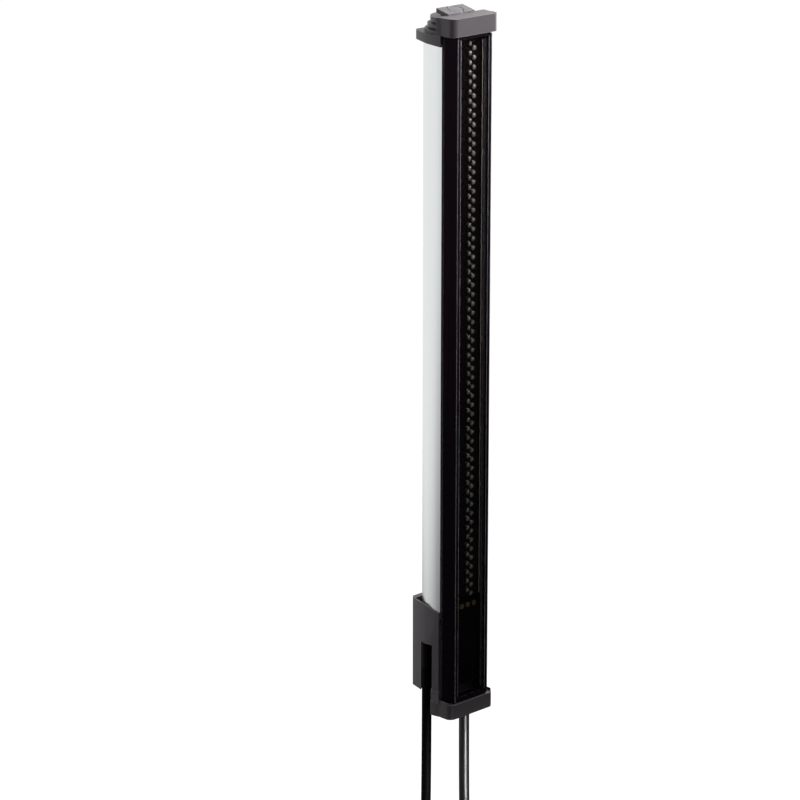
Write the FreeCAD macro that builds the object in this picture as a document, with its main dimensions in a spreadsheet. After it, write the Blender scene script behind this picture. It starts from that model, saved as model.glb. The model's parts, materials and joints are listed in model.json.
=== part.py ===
import FreeCAD, Part
import math
import os

# Automation light grid, receiver post.
# Frame: X to the right along the front, the front faces -Y, Z up.
# The origin is the centre of the connection box's flat back, where the post lies on its carrier.
# Setbacks are distances in front of that back plane, so a setback s is the plane y = -s.

doc = FreeCAD.newDocument("light_grid")
sheet = doc.addObject("Spreadsheet::Sheet", "dims")

SIZES = [
    # housing section, from the barrel's axis
    ("barrel_radius", 17.0), ("barrel_wall", 1.8), ("back_wall", 1.6), ("front_lead", 13.5),
    ("joint_lead", 5.65), ("front_half", 12.2), ("front_wall", 2.3), ("flank_wall", 2.0),
    ("groove_wide", 0.9), ("groove_deep", 0.5), ("fin_lap", 0.4), ("fin_thick", 1.2),
    ("fin_root", 0.4),
    # heights of the housings
    ("housing_top", 332.0), ("housing_bottom", -28.0), ("rear_drop", 6.0),
    # window
    ("rail_wide", 2.2), ("window_thick", 1.0), ("window_recess", 0.5), ("window_low_end", 2.6),
    ("window_high_end", 1.1), ("ledge_wide", 1.0), ("ledge_end", 1.2), ("slip", 0.1),
    # optics
    ("beam_pitch", 5.0), ("column_half", 1.3), ("beam_margin", 4.0), ("module_gap", 0.2),
    ("board_thick", 1.2), ("board_lead", 0.35), ("carrier_clear", 0.2), ("carrier_deep", 3.8),
    ("rim_wide", 0.6), ("rim_rise", 1.1), ("clip_wide", 1.4), ("clip_tall", 3.0),
    ("clip_rise", 1.3), ("clip_upper", 7.9), ("clip_lower", 38.2), ("aperture", 1.2),
    ("strip_side", 1.6), ("strip_thick", 0.8), ("lens_radius", 2.0), ("lens_edge", 1.7),
    ("lens_sink", 6.0), ("diode_side", 1.4), ("diode_thick", 0.6),
    # indicators and control board
    ("block_drop", 1.25), ("block_tall", 39.0), ("pipe_radius", 1.4), ("pipe_rise", 0.6),
    ("pipe_first", -4.2), ("pipe_pitch", 4.6), ("pipe_drop", 3.9), ("control_drop", 0.45),
    ("control_lift", 0.5), ("chip_side", 8.0), ("chip_thick", 1.2), ("chip_lift", 31.0),
    ("terminal_wide", 7.0), ("terminal_deep", 5.0), ("terminal_tall", 8.0), ("terminal_lift", 11.0),
    ("terminal_gap", 1.6),
    # end caps
    ("overhang", 0.5), ("cap_lead", 0.9), ("cap_corner", 3.6), ("gasket_thick", 0.8),
    ("gasket_inset", 0.5), ("gasket_wall", 6.4), ("cap_tall", 9.4), ("cap_ahead", 2.2),
    ("plate_half", 9.5), ("plate_long", 8.95), ("plate_ahead", 3.7), ("plate_step", 0.8),
    ("plate_rise", 2.1), ("plate_lift", 0.55), ("disc_radius", 4.1), ("disc_groove", 0.5),
    ("disc_deep", 0.5), ("neck_inset", 5.9), ("stalk_half", 7.5), ("stalk_inset", 1.2),
    ("stalk_lap", 0.1), ("under_inset", 3.5), ("under_drop", 1.1), ("under_thick", 2.5),
    ("ear_inset", 2.0), ("ear_drop", 4.7), ("ear_thick", 1.6), ("shoulder_inset", 0.6),
    ("shoulder_drop", 7.3), ("ear_hole", 0.5), ("ear_hole_inset", 0.9), ("spigot_side", 0.3),
    ("spigot_long", 2.4), ("spigot_clear", 0.3), ("bottom_cap_tall", 8.25), ("bottom_behind", 0.0),
    ("bridge_over", 0.2), ("bridge_rise", 2.2), ("lip_wall", 0.4), ("lip_rise", 1.3),
    # foot of the top cap and the connection box
    ("side_wall", 1.2), ("side_behind", 3.6), ("back_inset", 3.6), ("edge_inset", 5.6),
    ("edge_deep", 2.0), ("collar_step", 1.2), ("foot_lap", 3.8), ("foot_over", 0.2),
    ("foot_trim", 1.9), ("foot_slope", 1.0), ("skirt_lap", 0.7), ("skirt_over", 0.2),
    ("box_tall", 50.0), ("collar_drop", 2.8), ("box_floor", 2.0), ("well_wall", 0.9),
    ("well_deep", 8.0), ("well_half", 8.6), ("well_back", 3.4), ("pocket_inset", 0.8),
    ("pocket_back", 6.0), ("ceiling", 3.0), ("cable_inset", 2.7), ("cable_behind", 6.0),
    ("channel_radius", 3.15), ("channel_tall", 28.0), ("slot_lead", 1.3), ("slot_behind", 1.6),
    ("slot_deep", 6.2),
    # screws through the foot and the box into the rear housing
    ("screw_half", 6.0), ("screw_radius", 1.0), ("head_radius", 1.9), ("head_thick", 1.5),
    ("head_sunk", 0.3), ("box_screw_drop", 3.0), ("foot_screw_drop", 1.6), ("hex_socket", 0.87),
    ("hex_deep", 0.8),
    # boots, cables and plugs
    ("boot_long", 15.0), ("boot_clear", 0.15), ("boot_taper", 0.1), ("left_cable", 2.7),
    ("right_cable", 2.9), ("neck_long", 9.0), ("neck_radius", 4.4), ("neck_wall", 0.4),
    ("grip_long", 19.0), ("grip_radius", 6.3), ("grip_rib", 0.5), ("flute_end", 3.0),
    ("stem_radius", 4.6), ("stem_long", 11.5), ("nut_gap", 0.3), ("nut_radius", 7.2),
    ("knurl_long", 7.0), ("knurl_cut", 0.45), ("knurl_end", 0.6), ("thread_radius", 6.0),
    ("thread_long", 5.0), ("relief_radius", 5.4), ("relief_long", 1.2), ("pin_radius", 0.5),
    ("pin_circle", 2.75), ("pin_out", 6.0), ("pin_in", 3.0), ("key_wide", 1.0), ("key_deep", 0.5),
    ("key_long", 4.0),
]
for row, (alias, value) in enumerate(SIZES, start=1):
    sheet.set("A%d" % row, alias)
    sheet.set("B%d" % row, str(value))
    sheet.setAlias("B%d" % row, alias)
doc.recompute()

SIZE = {alias: float(getattr(sheet, alias)) for alias, value in SIZES}
MODULES = 6
PER_COLUMN = 10

# Places and sizes that follow from the ones above.
FOLLOWS = {
    "axis_setback": "barrel_radius + back_wall",
    "joint_setback": "axis_setback + joint_lead",
    "front_setback": "axis_setback + front_lead",
    "cap_front": "front_setback + cap_lead",
    "inner_front": "front_setback - front_wall",
    "joint_half": "sqrt(barrel_radius ^ 2 - joint_lead ^ 2)",
    "flank_slope": "(joint_half - front_half) / (front_lead - joint_lead)",
    "window_half": "front_half - rail_wide - slip",
    "window_front": "front_setback - window_recess",
    "window_back": "front_setback - window_recess - window_thick",
    "window_bottom": "housing_bottom + window_low_end",
    "window_top": "housing_top - window_high_end",
    "fin_inside": "window_half + slip - ledge_wide - fin_lap",
    "board_half": "fin_inside + fin_thick",
    "board_front": "joint_setback + board_lead",
    "board_back": "board_front - board_thick",
    "carrier_half": "fin_inside - carrier_clear",
    "carrier_front": "board_front + carrier_deep",
    "strip_half": "carrier_half - strip_side",
    "lens_deep": "sqrt(lens_radius ^ 2 - lens_edge ^ 2)",
    "spigot_half": "fin_inside - spigot_side",
    "first_beam": "housing_top - beam_margin",
    "optics_top": "first_beam + beam_pitch / 4",
    "module_long": "%d * beam_pitch" % PER_COLUMN,
    "module_top": "optics_top - module_gap / 2",
    "module_bottom": "optics_top - module_long + module_gap / 2",
    "optics_bottom": "optics_top - %d * module_long" % MODULES,
    "block_top": "optics_bottom - block_drop",
    "block_bottom": "block_top - block_tall",
    "pipe_height": "block_top - pipe_drop",
    "control_top": "optics_bottom - control_drop",
    "control_bottom": "box_bottom + box_floor + control_lift",
    "chip_height": "box_bottom + chip_lift",
    "terminal_height": "box_bottom + terminal_lift",
    "cap_low": "housing_top + gasket_thick",
    "cap_high": "cap_low + cap_tall",
    "cap_back_setback": "axis_setback + cap_ahead",
    "cap_half": "sqrt((barrel_radius + overhang) ^ 2 - joint_lead ^ 2)",
    "plate_front_setback": "axis_setback + plate_ahead",
    "plate_back_setback": "plate_front_setback - plate_long",
    "plate_low": "cap_high + plate_lift",
    "plate_high": "cap_high + plate_step",
    "under_radius": "barrel_radius - under_inset",
    "under_high": "cap_high - under_drop",
    "under_low": "under_high - under_thick",
    "ear_radius": "barrel_radius - ear_inset",
    "ear_high": "cap_high - ear_drop",
    "ear_low": "ear_high - ear_thick",
    "gasket_low": "housing_bottom - gasket_thick",
    "bottom_low": "gasket_low - bottom_cap_tall",
    "bottom_back_setback": "axis_setback - bottom_behind",
    "bridge_half": "barrel_radius + bridge_over",
    "bridge_top": "box_bottom + bridge_rise",
    "side_half": "barrel_radius + side_wall",
    "side_setback": "axis_setback - side_behind",
    "back_half": "side_half - back_inset",
    "side_slope": "back_inset / (side_setback - edge_deep)",
    "edge_half": "side_half - edge_inset",
    "foot_bottom": "housing_top - foot_lap",
    "foot_top": "housing_top + foot_over",
    "foot_screw_height": "housing_top - foot_screw_drop",
    "box_bottom": "-box_tall / 2",
    "box_top": "box_tall / 2",
    "collar_top": "box_top - collar_drop",
    "rear_bottom": "box_top - rear_drop",
    "channel_top": "box_bottom + channel_tall",
    "pocket_half": "board_half - pocket_inset",
    "pocket_top": "channel_top + ceiling",
    "cable_half": "barrel_radius - cable_inset",
    "cable_setback": "axis_setback - cable_behind",
    "slot_front": "axis_setback + slot_lead",
    "slot_back": "cable_setback - slot_behind",
    "slot_inside": "side_half - slot_deep",
    "box_screw_height": "box_top - box_screw_drop",
    "screw_tip": "axis_setback - sqrt((barrel_radius - barrel_wall) ^ 2 - screw_half ^ 2)",
    "boot_top": "channel_radius - boot_clear",
    "boot_end": "boot_top - boot_taper",
}
NODES = []


def bound(text):
    """An expression in which every size is read from the sheet and every following size is spelled out."""
    out = []
    word = ""
    for letter in text + " ":
        if letter.isalnum() or letter == "_":
            word += letter
            continue
        if word in FOLLOWS:
            word = "(" + bound(FOLLOWS[word]) + ")"
        elif word in SIZE:
            word = "dims." + word
        out.append(word + letter)
        word = ""
    return "".join(out).strip()


def bind(obj, **fields):
    for field, text in fields.items():
        obj.setExpression(field.replace("__", "."), bound(text))


def at(obj, x, y, z):
    bind(obj, Placement__Base__x=x, Placement__Base__y=y, Placement__Base__z=z)


def turn(obj, axis, degrees):
    obj.Placement = FreeCAD.Placement(FreeCAD.Vector(), FreeCAD.Rotation(FreeCAD.Vector(*axis), degrees))


def box(name, x0, x1, y0, y1, z0, z1):
    obj = doc.addObject("Part::Box", name)
    bind(obj, Length="(%s) - (%s)" % (x1, x0), Width="(%s) - (%s)" % (y1, y0))
    bind(obj, Height="(%s) - (%s)" % (z1, z0))
    at(obj, x0, y0, z0)
    return obj


def wedge(name, y0, y1, half0, half1, z0, z1):
    """A prism whose plan is a trapezoid, half0 either side at y0 and half1 at y1."""
    obj = doc.addObject("Part::Wedge", name)
    bind(obj, Xmin="-(%s)" % half0, Xmax=half0, X2min="-(%s)" % half1, X2max=half1)
    bind(obj, Ymin=y0, Ymax=y1, Zmin=z0, Zmax=z1, Z2min=z0, Z2max=z1)
    return obj


def upright(name, radius, x, y, z0, z1):
    obj = doc.addObject("Part::Cylinder", name)
    bind(obj, Radius=radius, Height="(%s) - (%s)" % (z1, z0))
    at(obj, x, y, z0)
    return obj


def level(name, radius, x, y0, y1, z):
    """A round bar along Y from y0 back to y1."""
    obj = doc.addObject("Part::Cylinder", name)
    turn(obj, (1, 0, 0), -90)
    bind(obj, Radius=radius, Height="(%s) - (%s)" % (y1, y0))
    at(obj, x, y0, z)
    return obj


def cone(name, radius0, radius1, x, y, z0, z1):
    obj = doc.addObject("Part::Cone", name)
    bind(obj, Radius1=radius0, Radius2=radius1, Height="(%s) - (%s)" % (z1, z0))
    at(obj, x, y, z0)
    return obj


def fuse(name, shapes):
    obj = doc.addObject("Part::MultiFuse", name)
    obj.Shapes = shapes
    obj.Refine = True
    return obj


def common(name, shapes):
    obj = doc.addObject("Part::MultiCommon", name)
    obj.Shapes = shapes
    return obj


def cut(name, base, tools):
    obj = doc.addObject("Part::Cut", name)
    obj.Base = base
    obj.Tool = tools[0] if len(tools) == 1 else fuse(name + "_tools", tools)
    return obj


def node(obj, label):
    """Keep an object as a piece of the part, under the name of its file."""
    obj.Label = label
    NODES.append(obj)
    return obj


def group(label, objs):
    """Identical separate pieces that share one node."""
    obj = doc.addObject("Part::Compound", label)
    obj.Links = objs
    return node(obj, label)


def repeat(source, label, dx, dy, dz):
    """One more of a piece, moved by the given distances."""
    obj = doc.addObject("Part::Feature", label)
    obj.Shape = source.Shape.copy()
    shift = FreeCAD.Placement(FreeCAD.Vector(dx, dy, dz), FreeCAD.Rotation())
    obj.Placement = shift.multiply(source.Placement)
    return node(obj, label)


SIDES = (("left", "-1"), ("right", "1"))
AXIS_Y = "-axis_setback"

# Front housing: a dark channel with two rails, a rebate for the window and two fins for the boards.
outer = wedge("front_outer", "-front_setback", "-joint_setback", "front_half", "joint_half",
              "housing_bottom", "housing_top")
hollow = wedge("front_hollow", "-inner_front", "-joint_setback",
               "front_half + flank_slope * front_wall - flank_wall", "joint_half - flank_wall",
               "housing_bottom", "housing_top")
rebate = box("front_rebate", "-window_half - slip", "window_half + slip", "-front_setback - 1",
             "-window_back", "window_bottom - slip", "window_top + slip")
opening = box("front_opening", "-window_half - slip + ledge_wide", "window_half + slip - ledge_wide",
              "-front_setback - 1", "-inner_front + 1", "window_bottom + ledge_end", "window_top - ledge_end")
grooves = []
for side, sign in SIDES:
    groove = wedge("front_groove_" + side, "-joint_setback - groove_wide", "-joint_setback",
                   "groove_deep + 1", "groove_deep + 1", "housing_bottom - 1", "housing_top + 1")
    at(groove, "%s * (joint_half + 1)" % sign, "0", "0")
    grooves.append(groove)
shell = cut("front_shell", outer, [hollow, rebate, opening] + grooves)
fins = []
for side, sign in SIDES:
    fins.append(box("front_fin_" + side, "%s * (fin_inside + fin_thick / 2) - fin_thick / 2" % sign,
                    "%s * (fin_inside + fin_thick / 2) + fin_thick / 2" % sign, "-inner_front - fin_root",
                    "-board_front", "window_bottom + ledge_end", "window_top - ledge_end"))
node(fuse("front_whole", [shell] + fins), "front_housing")

# Rear housing: a bright half barrel with two ribs that press the boards on the fins.
barrel = upright("rear_barrel", "barrel_radius", "0", AXIS_Y, "rear_bottom", "housing_top")
bore = upright("rear_bore", "barrel_radius - barrel_wall", "0", AXIS_Y, "rear_bottom - 1", "housing_top + 1")
front_half_space = box("rear_front", "-barrel_radius - 5", "barrel_radius + 5",
                       AXIS_Y + " - barrel_radius - 5", "-joint_setback", "rear_bottom - 1",
                       "housing_top + 1")
rear = cut("rear_shell", barrel, [bore, front_half_space])
ribs = []
for side, sign in SIDES:
    ribs.append(box("rear_rib_" + side, "%s * (fin_inside + fin_thick / 2) - fin_thick / 2" % sign,
                    "%s * (fin_inside + fin_thick / 2) + fin_thick / 2" % sign, "-board_back",
                    "-axis_setback + sqrt((barrel_radius - barrel_wall / 2) ^ 2 - board_half ^ 2)",
                    "rear_bottom", "optics_top"))


def screw_holes(name, radius, height, y0, y1):
    return [level("%s_%s" % (name, side), radius, "%s * screw_half" % sign, y0, y1, height)
            for side, sign in SIDES]


rear_holes = screw_holes("rear_low_hole", "screw_radius", "box_screw_height", AXIS_Y, "1")
rear_holes += screw_holes("rear_high_hole", "screw_radius", "foot_screw_height", AXIS_Y, "1")
node(cut("rear_housing", fuse("rear_whole", [rear] + ribs), rear_holes), "rear_housing")

# Window: a dark tinted strip on the ledges between the rails.
node(box("window", "-window_half", "window_half", "-window_front",
         "-window_back", "window_bottom", "window_top"), "front_window")

# Optics: six modules, each a board, a carrier with twenty apertures, a lens strip and twenty diodes.


def beam_spots():
    """Place names of the twenty beams of the uppermost module, in two staggered columns."""
    spots = []
    for index in range(PER_COLUMN):
        spots.append(("-column_half", "first_beam - %d * beam_pitch" % index))
        spots.append(("column_half", "first_beam - beam_pitch / 2 - %d * beam_pitch" % index))
    return spots


board = node(box("sensor_board_1", "-board_half", "board_half", "-board_front", "-board_back",
                 "module_bottom", "module_top"), "sensor_board_1")
carrier_parts = [box("carrier_base", "-carrier_half", "carrier_half", "-carrier_front", "-board_front",
                     "module_bottom", "module_top")]
for side, sign in SIDES:
    carrier_parts.append(box("carrier_rim_" + side,
                             "%s * (carrier_half - rim_wide / 2) - rim_wide / 2" % sign,
                             "%s * (carrier_half - rim_wide / 2) + rim_wide / 2" % sign,
                             "-carrier_front - rim_rise", "-board_front", "module_bottom", "module_top"))
    for clip in ("clip_upper", "clip_lower"):
        carrier_parts.append(box("carrier_%s_%s" % (clip, side),
                                 "%s * (carrier_half - clip_wide / 2) - clip_wide / 2" % sign,
                                 "%s * (carrier_half - clip_wide / 2) + clip_wide / 2" % sign,
                                 "-carrier_front - clip_rise", "-board_front",
                                 "first_beam - %s - clip_tall / 2" % clip,
                                 "first_beam - %s + clip_tall / 2" % clip))
bores = []
for number, (x, z) in enumerate(beam_spots()):
    bores.append(level("aperture_%d" % number, "aperture", x, "-carrier_front - 1",
                       "-board_front + 1", z))
carrier = node(cut("carrier_cut", fuse("carrier_whole", carrier_parts), bores), "lens_carrier_1")
strip_parts = [box("strip_plate", "-strip_half", "strip_half", "-carrier_front - strip_thick",
                   "-carrier_front", "module_bottom", "module_top")]
for number, (x, z) in enumerate(beam_spots()):
    dome = doc.addObject("Part::Sphere", "lens_%d" % number)
    turn(dome, (1, 0, 0), 90)
    bind(dome, Radius="lens_radius", Angle1="acos(lens_edge / lens_radius) - lens_sink * 1 deg")
    at(dome, x, "-carrier_front - strip_thick + lens_deep", z)
    strip_parts.append(dome)
strip_room = box("strip_room", "-carrier_half", "carrier_half", "-front_setback", "-carrier_front",
                 "module_bottom", "module_top")
strip = node(common("lens_strip", [fuse("strip_whole", strip_parts), strip_room]), "lens_strip_1")
diodes = []
for number, (x, z) in enumerate(beam_spots()):
    diodes.append(box("diode_%d" % number, x + " - diode_side / 2", x + " + diode_side / 2",
                      "-board_front - diode_thick", "-board_front",
                      z + " - diode_side / 2", z + " + diode_side / 2"))
diode = group("photodiodes_1", diodes)
doc.recompute()
for index in range(1, MODULES):
    for source, label in ((board, "sensor_board"), (carrier, "lens_carrier"), (strip, "lens_strip"),
                          (diode, "photodiodes")):
        repeat(source, "%s_%d" % (label, index + 1), 0, 0, -index * PER_COLUMN * SIZE["beam_pitch"])

# Indicators below the optics, and the control board behind them.
holder = box("indicator_block", "-carrier_half", "carrier_half", "-carrier_front", "-board_front",
             "block_bottom", "block_top")
pipe_holes = []
pipes = []
for number in range(3):
    x = "pipe_first + %d * pipe_pitch" % number
    pipe_holes.append(level("pipe_hole_%d" % number, "pipe_radius", x, "-carrier_front - 1",
                            "-board_front + 1", "pipe_height"))
    pipes.append(level("pipe_%d" % number, "pipe_radius", x, "-carrier_front - pipe_rise",
                       "-board_front", "pipe_height"))
node(cut("indicator_holder", holder, pipe_holes), "indicator_holder")
group("indicator_light_pipes", pipes)
node(box("control_plate", "-board_half", "board_half", "-board_front", "-board_back",
         "control_bottom", "control_top"), "control_board")
node(box("control_chip_body", "-chip_side / 2", "chip_side / 2", "-board_back",
         "-board_back + chip_thick", "chip_height - chip_side / 2", "chip_height + chip_side / 2"),
     "control_chip")
terminals = []
for side, sign in SIDES:
    centre = "%s * (terminal_gap + terminal_wide) / 2" % sign
    terminals.append(box("terminal_" + side, centre + " - terminal_wide / 2", centre + " + terminal_wide / 2",
                         "-board_back", "-board_back + terminal_deep",
                         "terminal_height - terminal_tall / 2", "terminal_height + terminal_tall / 2"))
group("cable_terminals", terminals)


def saddle(name, z0, z1, front_z0, front_z1, trim):
    """The outline that the foot of the top cap and the connection box share, flat at the back."""
    collar = wedge(name + "_collar", "-joint_setback", "-side_setback", "joint_half + collar_step",
                   "side_half", z0, z1)
    bind(collar, Zmin=front_z0, Zmax=front_z1)
    return [collar,
            wedge(name + "_side", "-side_setback", "-edge_deep", "side_half", "back_half - " + trim, z0, z1),
            wedge(name + "_back", "-edge_deep", "0", "back_half - " + trim, "edge_half - " + trim, z0, z1)]


def sunk_heads(name, height):
    return screw_holes(name + "_head", "head_radius", height, "-head_thick - head_sunk", "1")


# Top gasket and top cap.
top_gasket = fuse("top_gasket_whole", [
    wedge("top_gasket_front", "-front_setback + gasket_inset", "-joint_setback", "front_half - gasket_inset",
          "joint_half - gasket_inset", "housing_top", "cap_low"),
    common("top_gasket_rear", [
        upright("top_gasket_round", "barrel_radius - gasket_inset", "0", AXIS_Y, "housing_top",
                "cap_low"),
        box("top_gasket_half", "-barrel_radius", "barrel_radius", "-joint_setback", "0", "housing_top",
            "cap_low")])])
top_hole = box("top_gasket_hole", "-spigot_half - spigot_clear", "spigot_half + spigot_clear",
               "-inner_front", "-axis_setback + barrel_radius - gasket_wall", "housing_top - 1",
               "cap_low + 1")
node(cut("top_gasket_cut", top_gasket, [top_hole]), "top_gasket")


def bumper(name, z0, z1, rear):
    """The cap's outline: a flat front with two round corners, straight sides and a round back up to rear."""
    corner_y = "-cap_front + cap_corner"
    parts = [
        box(name + "_front", "-cap_half + cap_corner", "cap_half - cap_corner", "-cap_front", corner_y,
            z0, z1),
        box(name + "_sides", "-cap_half", "cap_half", corner_y, "-joint_setback", z0, z1),
        common(name + "_rear", [
            upright(name + "_round", "barrel_radius + overhang", "0", AXIS_Y, z0, z1),
            box(name + "_half", "-barrel_radius - 5", "barrel_radius + 5", "-joint_setback", rear, z0, z1)])]
    for side, sign in SIDES:
        parts.append(upright("%s_corner_%s" % (name, side), "cap_corner",
                             "%s * (cap_half - cap_corner)" % sign, corner_y, z0, z1))
    return parts


def rear_disc(name, radius, z0, z1):
    """One step of the cap's rear, a round plate behind the bumper."""
    return common(name, [
        upright(name + "_round", radius, "0", AXIS_Y, z0, z1),
        box(name + "_half", "-barrel_radius - 5", "barrel_radius + 5", "-joint_setback", "5", z0, z1)])


rear_steps = [
    rear_disc("top_shoulder", "barrel_radius - shoulder_inset", "cap_low", "cap_high - shoulder_drop"),
    rear_disc("top_neck", "barrel_radius - neck_inset", "cap_low", "under_high"),
    rear_disc("top_ear", "ear_radius", "ear_low", "ear_high"),
    rear_disc("top_under", "under_radius", "under_low", "under_high"),
    box("top_stalk", "-stalk_half", "stalk_half", "-cap_back_setback", "-plate_back_setback - stalk_inset",
        "under_high - 1", "plate_low + stalk_lap")]
plate = wedge("top_plate", "-plate_front_setback", "-plate_back_setback", "plate_half", "plate_half",
              "plate_low", "plate_high")
bind(plate, Zmin="cap_high - 1", Z2max="plate_high + plate_rise")
PLATE_SLOPE = math.degrees(math.atan2(SIZE["plate_rise"], SIZE["plate_long"]))


def slope_disc(name, radius, z0, z1):
    """A round bar that stands square on the middle of the sloping plate, from z0 below to z1 above it."""
    obj = doc.addObject("Part::Cylinder", name)
    turn(obj, (1, 0, 0), PLATE_SLOPE)
    slope = math.radians(PLATE_SLOPE)
    bind(obj, Radius=radius, Height="(%s) - (%s)" % (z1, z0))
    at(obj, "0", "-plate_front_setback + plate_long / 2 - (%s) * %.6f" % (z0, math.sin(slope)),
       "plate_high + plate_rise / 2 + (%s) * %.6f" % (z0, math.cos(slope)))
    return obj


ring = cut("top_disc_ring", slope_disc("top_disc_out", "disc_radius + disc_groove", "-disc_deep", "1"),
           [slope_disc("top_disc_in", "disc_radius", "-disc_deep - 1", "2")])
foot = fuse("top_foot", saddle("foot", "foot_bottom", "foot_top", "foot_bottom - foot_slope", "foot_top",
                                "foot_trim"))
skirt = fuse("top_skirt", saddle("skirt", "cap_low - skirt_lap", "cap_low + skirt_over",
                                 "cap_low - skirt_lap", "cap_low + skirt_over", "foot_trim"))
spigot = box("top_spigot", "-spigot_half", "spigot_half", "-inner_front + spigot_clear",
             "-board_front - spigot_clear", "cap_low - spigot_long", "cap_low + 1")
seat = upright("top_seat", "barrel_radius + slip", "0", AXIS_Y, "foot_bottom - foot_slope - 1", "cap_low")
foot_cut = cut("top_foot_cut", fuse("top_foot_whole", [foot, skirt]), [seat])
ear_holes = []
for side, sign in SIDES:
    ear_holes.append(upright("top_ear_hole_" + side, "ear_hole",
                             "%s * (ear_radius - ear_hole_inset) * cos(45)" % sign,
                             AXIS_Y + " + (ear_radius - ear_hole_inset) * sin(45)",
                             "ear_low - 1", "ear_high + 1"))
cap_holes = [ring] + ear_holes + screw_holes("foot_hole", "screw_radius", "foot_screw_height", AXIS_Y, "1")
cap_holes += sunk_heads("foot", "foot_screw_height")
cap_parts = bumper("top_bumper", "cap_low", "cap_high", "-cap_back_setback") + rear_steps
cap_parts += [plate, foot_cut, spigot]
node(cut("top_cap_cut", fuse("top_cap_whole", cap_parts), cap_holes), "top_cap")

# Bottom gasket and bottom cap.
low_gasket = wedge("bottom_gasket_plate", "-front_setback + gasket_inset", "-joint_setback",
                   "front_half - gasket_inset", "joint_half - gasket_inset", "gasket_low", "housing_bottom")
low_hole = box("bottom_gasket_hole", "-spigot_half - spigot_clear", "spigot_half + spigot_clear",
               "-inner_front", "-joint_setback + 1", "gasket_low - 1", "housing_bottom + 1")
node(cut("bottom_gasket_cut", low_gasket, [low_hole]), "bottom_gasket")
low_parts = bumper("bottom_bumper", "bottom_low", "gasket_low", "-bottom_back_setback") + [
    box("bottom_bridge", "-bridge_half", "bridge_half", "-joint_setback", "-bottom_back_setback",
        "gasket_low - 1", "bridge_top"),
    box("bottom_spigot", "-spigot_half", "spigot_half", "-inner_front + spigot_clear",
        "-board_front - spigot_clear", "gasket_low - 1", "gasket_low + spigot_long")]
for side, sign in SIDES:
    lip_room = box("bottom_lip_room_" + side, "%s * (cap_half + 1 - lip_wall / 2) - 1 - lip_wall / 2" % sign,
                   "%s * (cap_half + 1 - lip_wall / 2) + 1 + lip_wall / 2" % sign, "-cap_front",
                   "-joint_setback", "gasket_low - 1", "gasket_low + lip_rise")
    lip_outline = fuse("bottom_lip_outline_" + side, bumper("bottom_lip_" + side, "gasket_low - 1",
                                                           "gasket_low + lip_rise", "-joint_setback + 1"))
    low_parts.append(common("bottom_lip_cut_" + side, [lip_outline, lip_room]))
node(fuse("bottom_cap_whole", low_parts), "bottom_cap")

# Connection box: it holds the rear housing's lower end and lets the two cables out downwards.
body = fuse("box_body", saddle("box", "box_bottom", "box_top", "box_bottom", "collar_top", "0"))
box_cuts = [
    upright("box_seat", "barrel_radius + slip", "0", AXIS_Y, "rear_bottom", "box_top + 1"),
    upright("box_upper", "barrel_radius - barrel_wall", "0", AXIS_Y, "pocket_top", "rear_bottom + 1"),
    box("box_pocket", "-pocket_half", "pocket_half", "-joint_setback - 1", "-pocket_back",
        "box_bottom + box_floor", "pocket_top + 1"),
    box("box_board_room", "-board_half - slip", "board_half + slip", "-joint_setback - 1", "-board_back",
        "control_bottom - slip", "box_top + 1"),
    box("box_bridge_room", "-side_half - 1", "side_half + 1", "-joint_setback - 1", "-bottom_back_setback",
        "box_bottom - 1", "bridge_top")]
well = wedge("box_well", "-side_setback", "-well_back", "side_half - well_wall",
             "back_half - well_wall + side_slope * (well_back - edge_deep)", "box_top - well_deep",
             "box_top + 1")
well_middle = box("box_well_middle", "-well_half", "well_half", "-side_setback - 1", "0",
                  "box_top - well_deep - 1", "box_top + 2")
box_cuts.append(cut("box_wells", well, [well_middle]))
for side, sign in SIDES:
    box_cuts.append(upright("box_channel_" + side, "channel_radius", "%s * cable_half" % sign,
                            "-cable_setback", "box_bottom - 1", "channel_top"))
    box_cuts.append(box("box_slot_" + side,
                        "%s * (slot_inside + side_half + 2) / 2 - (side_half + 2 - slot_inside) / 2" % sign,
                        "%s * (slot_inside + side_half + 2) / 2 + (side_half + 2 - slot_inside) / 2" % sign,
                        "-slot_front", "-slot_back", "box_bottom - 1", "channel_top"))
box_cuts += screw_holes("box_hole", "screw_radius", "box_screw_height", AXIS_Y, "1")
box_cuts += sunk_heads("box", "box_screw_height")
node(cut("connection_box_cut", body, box_cuts), "connection_box")


def screws(label, height):
    """Two socket screws from the flat back into the rear housing's wall."""
    whole = []
    for side, sign in SIDES:
        x = "%s * screw_half" % sign
        head = level("%s_head_%s" % (label, side), "head_radius", x, "-head_thick - head_sunk", "-head_sunk",
                     height)
        shank = level("%s_shank_%s" % (label, side), "screw_radius", x, "-screw_tip", "-head_thick", height)
        socket = doc.addObject("Part::Prism", "%s_socket_%s" % (label, side))
        turn(socket, (1, 0, 0), -90)
        bind(socket, Circumradius="hex_socket", Height="hex_deep + 1")
        at(socket, x, "-head_sunk - hex_deep", height)
        blank = fuse("%s_body_%s" % (label, side), [head, shank])
        whole.append(cut("%s_%s" % (label, side), blank, [socket]))
    return group(label, whole)


screws("box_screws", "box_screw_height")
screws("foot_screws", "foot_screw_height")

# Strain relief boots in the two channels.
BOOTS = {}
for side, sign in SIDES:
    BOOTS[side] = node(cone("boot_" + side, "boot_end", "boot_top", "%s * cable_half" % sign,
                            "-cable_setback", "channel_top - boot_long", "channel_top"),
                       "strain_relief_" + side)
doc.recompute()

# Cable routes: the boot's mouth, then how far out and how high each further point lies.
TURNS = {
    "left": [(0.0, -86.0), (-2.0, -143.0), (-5.2, -188.0)],
    "right": [(0.0, -84.0), (1.8, -133.0), (4.6, -169.0)],
}


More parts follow.
